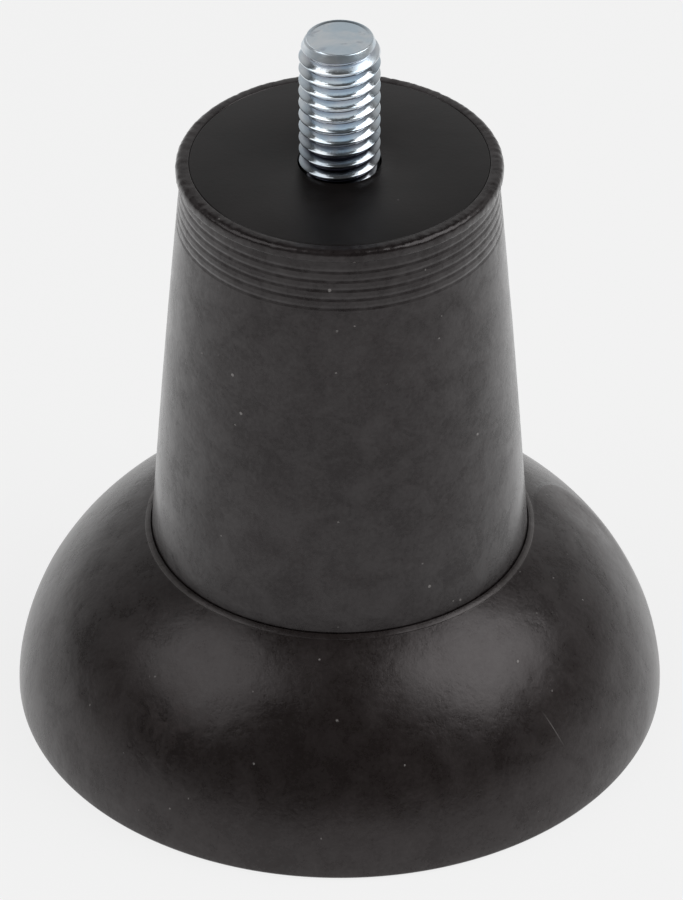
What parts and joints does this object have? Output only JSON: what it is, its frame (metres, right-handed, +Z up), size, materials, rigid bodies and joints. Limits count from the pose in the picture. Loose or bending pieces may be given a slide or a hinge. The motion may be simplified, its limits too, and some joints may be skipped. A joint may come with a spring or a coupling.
{
  "type": "furniture leveling foot",
  "caption": "Leveling foot for furniture: threaded stud on top of a ringed conical neck, which turns in the collar of a domed rubber base with a flat ribbed sole.",
  "frame": {"origin": "middle of the sole, on the floor", "axes": "+Z up along the stud, out of the top of the foot; X and Y are free, because the outside is round"},
  "size_m": [0.05, 0.05, 0.0587],
  "materials": {
    "zinc_steel": "bright blue zinc plate",
    "black_plate": "satin black",
    "neck_rubber": "moulded, slightly polished",
    "base_rubber": "moulded, satin",
    "black_nylon": "glass filled nylon",
    "white_nylon": "natural, waxy"
  },
  "bodies": {
    "leg": {"stud_bolt": "zinc_steel", "head_washer": "zinc_steel", "spacer_tube": "zinc_steel", "lock_nut": "zinc_steel", "nut_nylon_ring": "white_nylon", "top_plate": "black_plate", "neck_core": "black_nylon", "neck_sleeve": "neck_rubber"},
    "base": {"base_core": "black_nylon", "pivot_bush": "white_nylon", "glide_ring": "white_nylon", "sole_boot": "base_rubber"}
  },
  "joints": [
    {"name": "base_swivel", "type": "hinge", "parent": "leg", "child": "base", "pos_m": [0, 0, 0.012], "axis": [0, 0, 1], "continuous": true}
  ]
}
